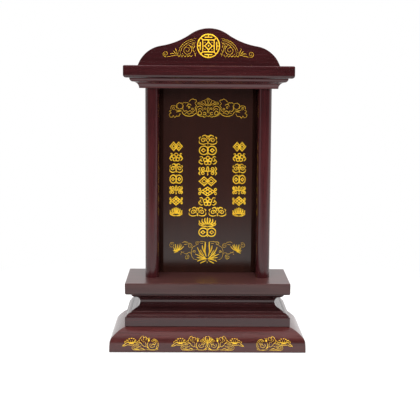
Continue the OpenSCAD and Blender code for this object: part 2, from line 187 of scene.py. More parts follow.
def add_node(tree, kind, inputs=None, **settings):
    """Adds a node; inputs maps a socket's name or number to a value or to another node's output."""
    made = tree.nodes.new(kind)
    for name, value in settings.items():
        setattr(made, name, value)
    for key, value in (inputs or {}).items():
        if isinstance(value, bpy.types.NodeSocket):
            tree.links.new(value, made.inputs[key])
        else:
            made.inputs[key].default_value = value
    return made


def add_group(name, kind, inputs, outputs):
    """A node group with named sockets: each entry is a name, a socket type and a first value."""
    tree = bpy.data.node_groups.new(name, kind)
    for direction, sockets in (("INPUT", inputs), ("OUTPUT", outputs)):
        for label, socket_type, first in sockets:
            made = tree.interface.new_socket(label, in_out=direction, socket_type=socket_type)
            if first is not None:
                made.default_value = first
    return tree, tree.nodes.new("NodeGroupInput").outputs, tree.nodes.new("NodeGroupOutput").inputs


def new_finish(name):
    """A new material, with its node tree, its shader's inputs and the object's own coordinates."""
    made = bpy.data.materials.new(name)
    made.use_nodes = True
    tree = made.node_tree
    place = add_node(tree, "ShaderNodeTexCoord").outputs["Object"]
    return made, tree, tree.nodes["Principled BSDF"].inputs, place


def noise(tree, place, scale, detail, roughness=0.5, distortion=0.0):
    """A noise value at a place."""
    return add_node(tree, "ShaderNodeTexNoise",
                    {"Vector": place, "Scale": scale, "Detail": detail, "Roughness": roughness,
                     "Distortion": distortion}).outputs["Fac"]


def spread(tree, value, span, gives=(0.0, 1.0), curve="LINEAR"):
    """Spreads a span of a value over another range."""
    return add_node(tree, "ShaderNodeMapRange",
                    {"Value": value, "From Min": span[0], "From Max": span[1],
                     "To Min": gives[0], "To Max": gives[1]}, interpolation_type=curve).outputs["Result"]


def blend(tree, share, first, second, kind="RGBA"):
    """Goes from the first colour or value to the second."""
    return add_node(tree, "ShaderNodeMix", {"Factor": share, "A": first, "B": second},
                    data_type=kind).outputs["Result"]


def reckon(tree, operation, first, second):
    """A sum, product or the like of two values."""
    return add_node(tree, "ShaderNodeMath", {0: first, 1: second}, operation=operation).outputs["Value"]


# Shared shader effects

def make_grain_group():
    """Stained grain along X: long figure, fine fibres and short pores."""
    tree, given, out = add_group(
        "stained grain", "ShaderNodeTree",
        [("Vector", "NodeSocketVector", None), ("Deep", "NodeSocketColor", rgba(STAIN_DEEP)),
         ("Warm", "NodeSocketColor", rgba(STAIN_WARM)),
         ("Roughness", "NodeSocketFloat", LACQUER_ROUGHNESS), ("Contrast", "NodeSocketFloat", 1.0)],
        [("Color", "NodeSocketColor", None), ("Roughness", "NodeSocketFloat", None),
         ("Height", "NodeSocketFloat", None)])

    def streaks(along, across, detail, distortion=0.0):
        stretched = add_node(tree, "ShaderNodeVectorMath",
                             {0: given["Vector"], 1: (along, across, across)}, operation="MULTIPLY")
        return noise(tree, stretched.outputs["Vector"], 1.0, detail, 0.6, distortion)

    figure = streaks(along=14, across=190, detail=4, distortion=0.5)
    fibres = streaks(along=30, across=1500, detail=3)
    pores = streaks(along=110, across=2600, detail=1)
    stained = blend(tree, spread(tree, figure, NOISE_SPAN, curve="SMOOTHSTEP"), given["Deep"], given["Warm"])
    pore_tone = spread(tree, pores, PORE_SPAN, PORE_TONE)
    full_tone = reckon(tree, "MULTIPLY", spread(tree, fibres, NOISE_SPAN, FIBRE_TONE), pore_tone)
    tone = blend(tree, given["Contrast"], 1.0, full_tone, "FLOAT")
    shaded = add_node(tree, "ShaderNodeVectorMath", {0: stained, "Scale": tone}, operation="SCALE")
    uneven = spread(tree, fibres, NOISE_SPAN, FIBRE_ROUGHNESS)
    tree.links.new(shaded.outputs["Vector"], out["Color"])
    tree.links.new(reckon(tree, "ADD", given["Roughness"], uneven), out["Roughness"])
    tree.links.new(reckon(tree, "MULTIPLY", fibres, pore_tone), out["Height"])
    return tree


def make_wear_group():
    """A mask of rubbed places: uneven, and only on faces whose arris attribute is set."""
    tree, given, out = add_group("rubbed arrises", "ShaderNodeTree", [("Vector", "NodeSocketVector", None)],
                                 [("Mask", "NodeSocketFloat", None)])
    rubbed = spread(tree, noise(tree, given["Vector"], WEAR_SCALE, 4), WEAR_SPAN, WEAR_TONE)
    arris = add_node(tree, "ShaderNodeAttribute", attribute_name="arris").outputs["Fac"]
    tree.links.new(reckon(tree, "MULTIPLY", rubbed, arris), out["Mask"])
    return tree


grain_group = make_grain_group()
wear_group = make_wear_group()


# Materials of the wood and the screws

def grain_material(name, grain, shift, deep, warm, roughness, relief, figure=1.0):
    """Wood with its grain along one axis; shift moves the pattern so that no two boards match."""
    made, tree, shader, place = new_finish(name)
    shader["IOR"].default_value = LACQUER_IOR
    along = add_node(tree, "ShaderNodeMapping",
                     {"Vector": place, "Rotation": GRAIN_TURN[grain], "Location": shift})
    grown = add_node(tree, "ShaderNodeGroup",
                     {"Vector": along.outputs["Vector"], "Deep": rgba(deep), "Warm": rgba(warm),
                      "Roughness": roughness, "Contrast": figure}, node_tree=grain_group).outputs
    worn = add_node(tree, "ShaderNodeGroup", {"Vector": place}, node_tree=wear_group).outputs["Mask"]
    raised = add_node(tree, "ShaderNodeBump",
                      {"Height": grown["Height"], "Strength": relief, "Distance": RELIEF_DEPTH})
    tree.links.new(blend(tree, worn, grown["Color"], rgba(STAIN_WORN)), shader["Base Color"])
    tree.links.new(grown["Roughness"], shader["Roughness"])
    tree.links.new(raised.outputs["Normal"], shader["Normal"])
    return made


def make_zinc():
    """Zinc plating: pale metal with dull spots."""
    made, tree, shader, place = new_finish("zinc plating")
    shader["Metallic"].default_value = 1.0
    spots = noise(tree, place, ZINC_SCALE, 3)
    tree.links.new(blend(tree, spots, rgba(ZINC_DULL), rgba(ZINC_BRIGHT)), shader["Base Color"])
    tree.links.new(spread(tree, spots, (0.0, 1.0), ZINC_ROUGHNESS), shader["Roughness"])
    return made


# Lacquered boards and mouldings: merged copies of the solids with eased arrises

def near_faces(point, low, high, tolerance):
    """How many faces of the box a point lies near."""
    gaps = [abs(point[i] - end[i]) for end in (low, high) for i in range(3)]
    return sum(gap < tolerance for gap in gaps)


def arris_rule(node):
    """Says which sharp edges of a piece are eased."""
    low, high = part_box(node)
    if node.endswith("moulding") or node.endswith("side_board"):
        run = AXES[GRAIN[node]]
        return lambda a, b: abs((b - a).normalized().dot(run)) > 0.99
    if node == "crest_board":
        above = low.z + ARRIS_R
        return lambda a, b: abs(a.y - b.y) < ARRIS_R and (a.z + b.z) / 2 > above
    return lambda a, b: near_faces((a + b) / 2, low, high, ARRIS_NEAR) >= 2


def smooth_step(low, high, value):
    """Rises smoothly from 0 at the low value to 1 at the high one."""
    t = min(1.0, max(0.0, (value - low) / (high - low)))
    return t * t * (3 - 2 * t)


def lengthen_face(bm):
    """Draws the plinth's upright face up and tightens the bend above it."""
    for vert in bm.verts:
        z = vert.co.z
        vert.co.z += (FACE_DRAW * smooth_step(FACE_FOOT, FACE_TOP, z)
                      * (1 - smooth_step(FACE_TOP, BEND_TOP, z)))


def round_edges(bm, low, high, edges):
    """Enlarges the rounds along a board's front and sides, at its top and its foot, about their corner."""
    for vert in bm.verts:
        at = vert.co
        for end, level, inward in (("top", high.z, -1), ("foot", low.z, 1)):
            r, times = edges[end]
            if inward * (at.z - level) > r + ROUND_REACH:
                continue
            at.z = level + times * (at.z - level)
            for axis, side, sign in ((0, low.x, 1), (0, high.x, -1), (1, low.y, 1)):
                if sign * (at[axis] - side) <= r + ROUND_REACH:
                    at[axis] = side + times * (at[axis] - side)


def evaluated_mesh(obj):
    """The plain mesh that an object's modifiers give; the modifiers are then removed."""
    dg = bpy.context.evaluated_depsgraph_get()
    mesh = bpy.data.meshes.new_from_object(obj.evaluated_get(dg), preserve_all_data_layers=True, depsgraph=dg)
    obj.modifiers.clear()
    return mesh


def eased_copy(node):
    """A merged copy of a node's mesh with its arrises eased and flat faces kept flat."""
    eased = arris_rule(node)
    bm = bmesh.new()
    bm.from_mesh(frame["nodes"][node].data)
    bmesh.ops.remove_doubles(bm, verts=bm.verts, dist=MERGE_GAP)
    if node.startswith("plinth"):
        lengthen_face(bm)
    if node in ROUNDED:
        round_edges(bm, *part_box(node), ROUNDED[node])
    bmesh.ops.dissolve_limit(bm, angle_limit=FLAT_ANGLE, verts=bm.verts, edges=bm.edges)
    arris = bm.faces.layers.float.new("arris")
    sharp = [e for e in bm.edges if len(e.link_faces) == 2 and e.calc_face_angle(0) > ARRIS_ANGLE
             and eased(e.verts[0].co, e.verts[1].co)]
    made = bmesh.ops.bevel(bm, geom=sharp, offset=ARRIS_R, segments=ARRIS_SEGMENTS, profile=0.5,
                           affect="EDGES", clamp_overlap=True)
    for face in made["faces"]:
        face[arris] = 1.0
    rough = bpy.data.meshes.new(node + "_eased")
    bm.to_mesh(rough)
    bm.free()
    rough.shade_smooth()
    rough.set_sharp_from_angle(angle=SMOOTH_ANGLE)
    piece = link(bpy.data.objects.new(node + "_eased", rough))
    piece.modifiers.new("flat faces", "WEIGHTED_NORMAL").keep_sharp = True
    piece.data = evaluated_mesh(piece)
    bpy.data.meshes.remove(rough)
    return piece


dressed = {}
for number, (node, grain) in enumerate(GRAIN.items()):
    shift = [number * step for step in BOARD_SHIFT]
    # Some pieces' stain carries painted shade or a painted reflection, not only the wood's own tone
    tone_and_light = STAIN_AND_PAINTED_LIGHT.get(node, (1, 1, 1))
    deep, warm = ([share * c for share, c in zip(tone_and_light, stain)] for stain in (STAIN_DEEP, STAIN_WARM))
    roughness = DECK_ROUGHNESS if node == "deck_board" else LACQUER_ROUGHNESS
    finish = grain_material(node + " lacquer", grain, shift, deep, warm, roughness, LACQUER_RELIEF)
    if node in PLAIN_NODES:
        use_material(frame["nodes"][node], finish)
        continue
    piece = eased_copy(node)
    use_material(piece, finish)
    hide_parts(node)
    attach(piece, frame["nodes"][node]["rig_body"])
    dressed[node] = piece

panel_finish = grain_material("panel lacquer", "Z", PANEL_SHIFT, PANEL_DEEP, PANEL_WARM,
                              PANEL_ROUGHNESS, PANEL_RELIEF, PANEL_FIGURE)
use_material(frame["nodes"]["inscription_panel"], panel_finish)
bare_finish = grain_material("bare hardwood", "Z", (0, 0, 0), BARE_DEEP, BARE_WARM,
                             BARE_ROUGHNESS, BARE_RELIEF)
for node in ("inner_name_board", "lower_dowels", "upper_dowels", "crest_dowels"):
    use_material(frame["nodes"][node], bare_finish)
use_material(frame["nodes"]["base_screws"], make_zinc())


# Strokes of gilt: lists of (across, up, half width) in millimetres

# Step along a stroke, how fast a brush stroke swells, how far a bar runs past its corners as a share
# of its half width, and how much a curl thins
STROKE_STEP = 0.45
BRUSH_SWELL = 0.8
BAR_OVERRUN = 0.8
CURL_THINNING = 0.35


def smooth(points):
    """A Catmull-Rom curve through (across, up, half width) points, at even small steps."""
    ends = [points[0], *points, points[-1]]
    made = []
    for p0, p1, p2, p3 in zip(ends, ends[1:], ends[2:], ends[3:]):
        steps = max(2, round(hypot(p2[0] - p1[0], p2[1] - p1[1]) / STROKE_STEP))
        for i in range(steps):
            t = i / steps
            made.append(tuple(
                0.5 * (2 * b + (c - a) * t + (2 * a - 5 * b + 4 * c - d) * t * t
                       + (3 * b - a - 3 * c + d) * t ** 3)
                for a, b, c, d in zip(p0, p1, p2, p3)))
    return made + [points[-1]]


def brush(half_w, *points, tip=0.35):
    """A stroke that swells in the middle and thins out at both ends."""
    curve = smooth([(x, z, 1) for x, z in points])
    last = len(curve) - 1
    return [(x, z, half_w * (tip + (1 - tip) * max(0, sin(pi * i / last)) ** BRUSH_SWELL))
            for i, (x, z, _) in enumerate(curve)]


def line(half_w, *points):
    """A stroke of even width through the points."""
    return [(x, z, half_w) for x, z, _ in smooth([(x, z, 1) for x, z in points])]


def bar(half_w, start, end):
    """A straight stroke with square ends, made longer by about its half width to fill the corners."""
    (x0, z0), (x1, z1) = start, end
    over = half_w * BAR_OVERRUN / hypot(x1 - x0, z1 - z0)
    ux, uz = (x1 - x0) * over, (z1 - z0) * over
    return [(x0 - ux, z0 - uz, half_w), (x1 + ux, z1 + uz, half_w)]


def curl(half_w, centre, r_out, r_in, start, turns, squash=1.0):
    """A spiral from the outer radius in to the inner one, thinning as it winds; angles in degrees."""
    count = max(8, round(abs(turns) * pi * (r_out + r_in) / STROKE_STEP))
    made = []
    for i in range(count + 1):
        t = i / count
        r = r_out + (r_in - r_out) * t
        a = radians(start) + 2 * pi * turns * t
        made.append((centre[0] + r * cos(a), centre[1] + squash * r * sin(a),
                     half_w * (1 - CURL_THINNING * t)))
    return made


def ring(half_w, centre, rx, rz=None):
    """A closed ring; its ends overlap a little."""
    rz = rx if rz is None else rz
    count = max(14, round(2 * pi * max(rx, rz) / STROKE_STEP))
    return [(centre[0] + rx * cos(2 * pi * i / count), centre[1] + rz * sin(2 * pi * i / count), half_w)
            for i in range(count + 2)]


def dot(r, centre):
    """A small round bead of gilt."""
    x, z = centre
    return [(x - 0.6 * r, z, 0.75 * r), (x, z, r), (x + 0.6 * r, z, 0.75 * r)]


def diamond(half_w, centre, dx, dz):
    """Four bars round a lozenge."""
    x, z = centre
    corners = [(x + dx, z), (x, z + dz), (x - dx, z), (x, z - dz), (x + dx, z)]
    return [bar(half_w, p, q) for p, q in zip(corners, corners[1:])]


def petal(half_w, root, end, bulge):
    """Two bowed strokes from a root to an end, as the outline of a leaf or petal."""
    (x0, z0), (x1, z1) = root, end
    dx, dz = x1 - x0, z1 - z0
    made = []
    for side in (bulge, -bulge):
        wide, narrow = ((x0 + t * dx - bow * side * dz, z0 + t * dz + bow * side * dx)
                        for t, bow in ((0.45, 1.0), (0.8, 0.75)))
        made.append(brush(half_w, root, wide, narrow, end, tip=0.6))
    return made


def lobes(half_w, centre, r, start, end, count, depth):
    """A scalloped arc: lobes side by side round a centre; angles in degrees."""
    made = []
    for i in range(count):
        a0, a1 = (radians(start + (end - start) * k / count) for k in (i, i + 1))
        mid = (a0 + a1) / 2
        outline = ((a0, r), (a0 * 0.7 + mid * 0.3, r + 0.75 * depth), (mid, r + depth),
                   (a1 * 0.7 + mid * 0.3, r + 0.75 * depth), (a1, r))
        made.append(line(half_w, *[(centre[0] + q * cos(a), centre[1] + q * sin(a)) for a, q in outline]))
    return made


def mirrored(strokes):
    """The strokes and their mirror images across the middle line."""
    return strokes + [[(-x, z, w) for x, z, w in stroke] for stroke in strokes]


def placed(strokes, across, up, flip=1):
    """The strokes moved to a place, mirrored first where flip is -1."""
    return [[(across + flip * x, up + z, w) for x, z, w in stroke] for stroke in strokes]


def thinned(strokes, share):
    """The strokes with their widths cut to a share."""
    return [[(x, z, share * w) for x, z, w in stroke] for stroke in strokes]


def turned(strokes, degrees):
    """The strokes turned about the origin."""
    c, s = cos(radians(degrees)), sin(radians(degrees))
    return [[(c * x - s * z, s * x + c * z, w) for x, z, w in stroke] for stroke in strokes]


# Emblems that fill the panel's rows, each drawn into a half width a and a half height b

def blossom(a, b, w):
    """Five round petals about a bead, with sprigs beside them."""
    turns = [radians(90 + 72 * k) for k in range(5)]
    petals = [ring(w, (0.56 * b * cos(turn), 0.56 * b * sin(turn)), 0.36 * b) for turn in turns]
    sprigs = mirrored([
        brush(w * 1.1, (1.0 * b, -0.62 * b), (0.72 * a, -0.72 * b), (0.98 * a, -0.25 * b),
              (0.86 * a, 0.25 * b)),
        brush(w * 1.1, (1.12 * b, -0.15 * b), (0.80 * a, 0.05 * b), (0.74 * a, 0.5 * b)),
        brush(w, (0.98 * b, 0.45 * b), (0.66 * a, 0.85 * b), (0.92 * a, 0.78 * b))])
    return petals + sprigs + [dot(0.17 * b, (0, 0))]


def cloud(a, b, w):
    """A pair of curls under rounded billows."""
    half = [
        curl(w, (0.50 * a, -0.06 * b), 0.42 * b + 0.10 * a, 0.12 * b, 200, -1.35, 0.9),
        brush(w * 1.15, (0.06 * a, 0.12 * b), (0.22 * a, 0.92 * b), (0.55 * a, 0.88 * b),
              (0.62 * a, 0.62 * b)),
        brush(w, (0.98 * a, -0.10 * b), (0.96 * a, -0.62 * b), (0.55 * a, -0.92 * b),
              (0.10 * a, -0.72 * b)),
        brush(w, (0.78 * a, 0.66 * b), (0.98 * a, 0.42 * b), (0.88 * a, 0.08 * b))]
    stem = [brush(w * 1.2, (0, 0.98 * b), (0, 0.55 * b)), brush(w * 1.2, (0, -0.2 * b), (0, -0.95 * b))]
    return mirrored(half) + stem


def knot(a, b, w):
    """A lozenge of crossed bars with loops at its ends."""
    half = [bar(w, (0.56 * a, 0.30 * b), (-0.22 * a, -0.64 * b)),
            bar(w, (0.22 * a, 0.64 * b), (-0.56 * a, -0.30 * b)),
            ring(w * 0.9, (0.90 * a, 0.42 * b), 0.10 * a, 0.26 * b),
            ring(w * 0.9, (0.90 * a, -0.42 * b), 0.10 * a, 0.26 * b)]
    return diamond(w, (0, 0), 0.80 * a, 0.95 * b) + mirrored(half)


def lozenges(a, b, w):
    """Two linked lozenges, each with a smaller one inside."""
    half = diamond(w * 1.1, (0.40 * a, 0), 0.56 * a, 0.92 * b) + [dot(w * 1.3, (0.62 * a, 0))]
    half += diamond(w * 0.8, (0.40 * a, 0), 0.27 * a, 0.42 * b)
    return mirrored(half) + [dot(w * 1.2, (0, 0))]


def coins(a, b, w):
    """Two linked coins with square holes."""
    half = [ring(w * 1.1, (0.46 * a, 0), 0.50 * a, 0.90 * b)]
    half += diamond(w, (0.50 * a, 0), 0.22 * a, 0.36 * b)
    return mirrored(half) + [dot(w * 1.2, (0, 0.88 * b)), dot(w * 1.2, (0, -0.88 * b))]


def lotus_seat(a, b, w):
    """A fan of petals on a low seat."""
    half = [brush(w * 1.5, (0.10 * a, -0.52 * b), (0.30 * a, 0.28 * b), (0.26 * a, 0.86 * b)),
            brush(w * 1.4, (0.24 * a, -0.52 * b), (0.58 * a, 0.02 * b), (0.60 * a, 0.66 * b)),
            brush(w * 1.3, (0.36 * a, -0.58 * b), (0.82 * a, -0.26 * b), (0.94 * a, 0.36 * b)),
            brush(w * 1.1, (0.50 * a, -0.72 * b), (0.86 * a, -0.66 * b), (0.99 * a, -0.22 * b)),
            brush(w * 1.2, (0.0, -0.94 * b), (0.40 * a, -0.90 * b), (0.72 * a, -0.86 * b))]
    return mirrored(half) + [brush(w * 1.7, (0, -0.5 * b), (0, 0.3 * b), (0, 0.98 * b))]


def vine(a, b, w):
    """Curled tendrils on both sides of a bud."""
    half = [curl(w, (0.52 * a, 0.42 * b), 0.46 * b, 0.10 * b, -100, 1.3),
            curl(w, (0.52 * a, -0.46 * b), 0.42 * b, 0.10 * b, 100, -1.3),
            brush(w * 1.2, (0.06 * a, -0.10 * b), (0.26 * a, 0.0), (0.52 * a, -0.04 * b)),
            brush(w * 1.2, (0.84 * a, 0.86 * b), (0.99 * a, 0.40 * b), (0.82 * a, 0.02 * b)),
            brush(w * 1.2, (0.82 * a, -0.06 * b), (0.99 * a, -0.46 * b), (0.84 * a, -0.90 * b))]
    bud = petal(w, (0, -0.35 * b), (0, 0.95 * b), 0.16) + [brush(w * 1.2, (0, -0.45 * b), (0, -0.95 * b))]
    return mirrored(half) + bud


# Ornaments of the panel, up from its foot

EMBLEM_LINE = 0.51
MIDDLE_TOP, MIDDLE_PITCH = 133.8, 10.3
MIDDLE_HALF = (8.8, 4.7)
# None stands for the row with a pair of clouds
MIDDLE_ROW = (cloud, coins, blossom, vine, lozenges, knot, blossom, None, lotus_seat, coins)
PAIR_ACROSS, PAIR_HALF = 10.0, (8.5, 4.6)
SIDE_ACROSS, SIDE_TOP, SIDE_PITCH = 31.5, 127.3, 10.9
SIDE_HALF = (6.3, 4.5)
SIDE_ROW = (lozenges, blossom, cloud, coins, vine, knot, lotus_seat)


def panel_emblems():
    """The rows of emblems down the middle and the two sides of the panel."""
    strokes = []
    for row, emblem in enumerate(MIDDLE_ROW):
        up = MIDDLE_TOP - MIDDLE_PITCH * row
        if emblem is None:
            for across in (-PAIR_ACROSS, PAIR_ACROSS):
                strokes += placed(cloud(*PAIR_HALF, EMBLEM_LINE), across, up)
        else:
            strokes += placed(emblem(*MIDDLE_HALF, EMBLEM_LINE), 0, up)
    for row, emblem in enumerate(SIDE_ROW):
        for across in (-SIDE_ACROSS, SIDE_ACROSS):
            strokes += placed(emblem(*SIDE_HALF, EMBLEM_LINE), across, SIDE_TOP - SIDE_PITCH * row)
    return strokes


GARLAND_UP = 155.3
GARLAND_LINE = 0.18


def panel_garland():
    """The band of leaves and flowers at the panel's head, drawn up from the band's foot."""
    w = GARLAND_LINE
    crown = [
        brush(1.4 * w, (1, 12), (2.5, 14.5), (3.5, 17.5)), brush(w, (0, 20), (2, 18.5), (3.5, 18)),
        brush(1.4 * w, (2, 12), (4, 14), (7.5, 16)), brush(0.9 * w, (3.5, 17.5), (5.5, 17), (7.5, 16)),
        brush(1.4 * w, (4, 12), (7, 14), (10.5, 14)), brush(0.9 * w, (7.5, 16), (9.5, 15.5), (10.5, 14)),
        brush(w, (0, 19.5), (1, 17), (0, 15)), ring(w, (0, 13.5), 0.9),
    ]
    middle = [
        brush(1.5 * w, (4.5, 8.5), (6, 11), (8, 12), (10.5, 11), (11.5, 9.5)),
        brush(1.3 * w, (5, 7), (6.5, 9), (8.5, 9.5), (10, 8)),
        curl(1.7 * w, (8, 5), 2.2, 1.5, 110, -1), curl(1.6 * w, (3.5, 4.5), 1.5, 1, 40, 0.9),
        line(1.1 * w, (11.5, 9.5), (11.5, 6.5), (10.5, 3.5), (7.5, 2), (4.5, 2)),
        brush(1.2 * w, (0, 1.5), (1.5, 2.5), (2.5, 1.5)), brush(1.2 * w, (2.5, 1.5), (4, 1), (5, 2)),
        ring(w, (3, 9.5), 0.8), brush(1.1 * w, (0, 11.5), (1, 9), (0.5, 6), (1.5, 5)),
    ]
    flower = [
        line(w, (11.5, 16.5), (12, 18), (13.5, 18)), line(w, (13.5, 18), (15, 19), (16.5, 18.5)),
        line(w, (16.5, 18.5), (18, 17.5), (19, 16)),
        line(0.9 * w, (11.5, 16.5), (13, 14.5), (11.5, 12.5), (12.5, 11)),
        line(w, (25, 14.5), (23.5, 15.5), (22, 15)), line(w, (22, 15), (21, 15.5), (19.5, 14.5)),
        brush(1.4 * w, (21.5, 11.5), (19, 14), (16.5, 12.5)),
        curl(w, (19, 10.5), 1.3, 0.4, 30, 1.2), ring(w, (15.5, 9), 0.9),
        line(w, (13, 11), (12.5, 9), (14, 7)), line(w, (24.5, 12.5), (25, 9), (23.5, 6.5)),
        line(1.1 * w, (23.5, 6.5), (21.5, 7.5), (20, 6), (18, 7.5), (16, 6), (14, 7)),
        line(0.9 * w, (23, 4.5), (21, 5.5), (19, 4), (17, 5), (14.5, 5)),
        line(1.3 * w, (26, 6.5), (24, 3.5), (19.5, 2), (15.5, 2.5), (12, 5)),
    ]
    small_flower = lobes(w, (28, 12), 2.5, 0, 360, 7, 0.7)
    end_leaf = [
        line(w, (37, 9), (36.5, 11.5), (34, 12.5), (31.5, 11.5), (31, 9.5)),
        curl(w, (34, 9.5), 1.5, 0.5, 120, -1.2),
        line(w, (36, 8), (38, 7), (36.5, 5)), line(w, (36.5, 5), (38.5, 3.5), (37.5, 1)),
        line(w, (37.5, 1), (35.5, 1), (34.5, 2.5)), line(w, (34.5, 2.5), (33, 0.5), (31.5, 2)),
        line(w, (31.5, 2), (29, 2), (27.5, 4.5)),
        brush(1.4 * w, (33, 8.5), (30, 7.5), (26.5, 7.5)), brush(1.6 * w, (31.5, 6), (29, 6.5), (27, 6.5)),
    ]
    return placed(mirrored(crown + middle + flower + small_flower + end_leaf), 0, GARLAND_UP)


LOTUS_UP = 14.3
PETAL_LINE, VINE_LINE = 0.60, 0.17
SIDE_LOTUS_ROOT = (31, 7)
SIDE_LOTUS_TIPS = ((23.5, 12.5), (25.5, 14), (27, 15), (29.5, 14.5), (32, 14.5), (34, 11.5))


def panel_lotus():
    """The lotus and vines at the panel's foot, drawn from the heart of the lotus."""
    w, v = PETAL_LINE, VINE_LINE
    petals = [
        brush(1.3 * w, (2, 17), (2, 12.5), (2.5, 7.5), (1, 2)),
        brush(1.05 * w, (5, 13.5), (4.5, 10), (3, 6)),
        brush(0.95 * w, (10, 11.5), (8.5, 8), (6, 4.5), (1.5, 0.5)),
        brush(0.65 * w, (7, 9), (5.5, 6.5), (3.5, 3.5)),
        brush(0.9 * w, (12, 4.5), (8.5, 3), (5.5, 1.5), (0.5, 0)),
        brush(0.55 * w, (8.5, 5.5), (7, 4), (5, 3)),
        brush(0.85 * w, (10.5, 1), (7.5, 0.5), (0.5, -0.5)),
        brush(0.9 * w, (10, -3), (6.5, -1.5), (0.5, -0.5)),
        brush(0.85 * w, (7, -5), (4, -3.5), (1, -2)),
    ]
    vines = [
        brush(v, (2.5, 17), (6, 17.5), (8.5, 16.5)), brush(v, (4, 15.5), (7, 15.5)),
        curl(v, (10, 15.5), 2, 0.6, 150, -1.3),
        brush(v, (10.5, 13.5), (14, 12), (15.5, 9.5), (16, 6), (15.5, 2.5), (13.5, -0.5), (10, -1.5)),
        curl(v, (17.5, 13), 2.6, 0.6, 40, 1.5), brush(v, (25.5, 16), (22.5, 17), (19, 16)),
        brush(v, (23.5, 14), (20, 14.5)), brush(v, (24.5, 6), (21, 4.5), (18.5, 6), (16.5, 5.5)),
        curl(v, (20.5, 1.5), 2.5, 0.6, 110, 1.5), curl(v, (13, 7), 1.5, 0.4, -30, 1.3),
        dot(0.5, (26, 6.5)), dot(0.45, (26.5, 4.5)), brush(v, (26.5, 7), (25, 6), (23, 7)),
        curl(v, (35.5, 13.5), 2.8, 0.8, 130, -1.35),
    ]
    side_lotus = [brush(0.7 * w, (34.5, 8), (32, 7.5), (30, 8)),
                  brush(0.7 * w, (33.5, 5.5), (31.5, 6.5), (29.5, 7))]
    x0, z0 = SIDE_LOTUS_ROOT
    for x1, z1 in SIDE_LOTUS_TIPS:
        bow = (0.4 * x0 + 0.6 * x1, (z0 + z1) / 2 - 0.3)
        side_lotus.append(brush(0.72 * w, (x0, z0), bow, (x1, z1), tip=0.3))
    return placed(mirrored(petals + vines + side_lotus) + [dot(0.45, (0, -4))], 0, LOTUS_UP)


# Ornaments of the crest, up from its foot and a little left of its middle

CREST_MIDDLE = -0.6
ROUNDEL_UP = 18.5
ROUNDEL_LINE = 0.53
ROUNDEL_STRETCH = 1.04
SCROLL_LINE = 0.14
SCROLL_TEETH, TOOTH_PITCH = 5, 2.9


def crest_roundel():
    """A round fret: a ring, a square and a lozenge round a bead, with bars between them."""
    w = ROUNDEL_LINE
    quarter = [bar(w, (-3.2, 7.8), (3.2, 7.8)), bar(w, (0, 7.8), (0, 10.3)),
               bar(w, (-5.4, 5.4), (5.4, 5.4)), bar(w, (5.4, 5.4), (7.0, 7.0)),
               bar(0.9 * w, (0, 3.5), (3.5, 0)), bar(0.9 * w, (0, 3.5), (0, 5.4)), dot(0.55, (3.3, 3.3))]
    strokes = [ring(1.1 * w, (0, 0), 10.4), dot(1.0, (0, 0))]
    for turn in range(4):
        strokes += turned(quarter, 90 * turn)
    return [[(x, ROUNDEL_STRETCH * z, half_w) for x, z, half_w in stroke] for stroke in strokes]


def crest_scrolls():
    """The roundel in the middle of the crest and the scrolls beside it."""
    w = SCROLL_LINE
    half = [
        brush(w, (11.6, 25.4), (14.6, 25.0), (21.9, 22.1), (26.7, 16.7), (28.4, 10.4)),
        brush(w, (12.6, 23.6), (15.0, 23.4), (20.8, 20.6), (25.2, 16.0), (26.8, 10.8)),
        brush(w, (14.6, 21.7), (19.0, 19.7), (22.6, 16.6)),
        curl(1.2 * w, (20.1, 14.5), 4.8, 0.8, 110, 1.7),
        brush(w, (12.0, 22.6), (13.8, 20.0), (12.9, 17.0)),
        brush(w, (13.6, 22.0), (15.6, 19.0), (14.8, 16.2)),
        brush(w, (12.6, 18.4), (14.6, 15.4), (13.4, 12.0)),
        brush(w, (12.2, 15.0), (13.4, 12.4), (12.2, 9.6)),
        brush(w, (11.6, 11.8), (12.8, 10.2), (12.0, 8.8)),
        dot(0.5, (16.6, 17.6)), dot(0.45, (24.6, 11.0)),
        brush(1.6 * w, (29.2, 10.4), (30.2, 13.6), (31.3, 16.2)),
        brush(1.5 * w, (30.4, 10.4), (32.2, 12.8), (33.5, 13.8)),
        brush(1.3 * w, (31.2, 10.2), (33.8, 11.4), (36.4, 11.0)),
        brush(1.3 * w, (28.2, 9.6), (32.0, 9.6), (36.0, 8.7), (39.4, 8.2)),
        curl(1.2 * w, (40.4, 10.9), 2.8, 0.6, -100, 1.5),
    ]
    tooth = [brush(1.2 * w, (14.6, 10.3), (16.4, 8.3), (17.2, 9.9))]
    for i in range(SCROLL_TEETH):
        half += placed(tooth, TOOTH_PITCH * i, 0)
    return placed(placed(crest_roundel(), 0, ROUNDEL_UP) + mirrored(half), CREST_MIDDLE, 0)


# Ornaments of the plinth, drawn broad and full height first, then thinned and fitted to its face

# Half width of the lines as drawn, and the share of all widths that is kept
SPRAY_LINE, SPRAY_FINE = 0.32, 0.43
SPRAY_FOOT, SPRAY_RISE = 0.95, 0.885
SPRAY_TIP, MIDDLE_SPRAY_TIP = 81.0, 34.6
PALMETTE_LINE = 0.34


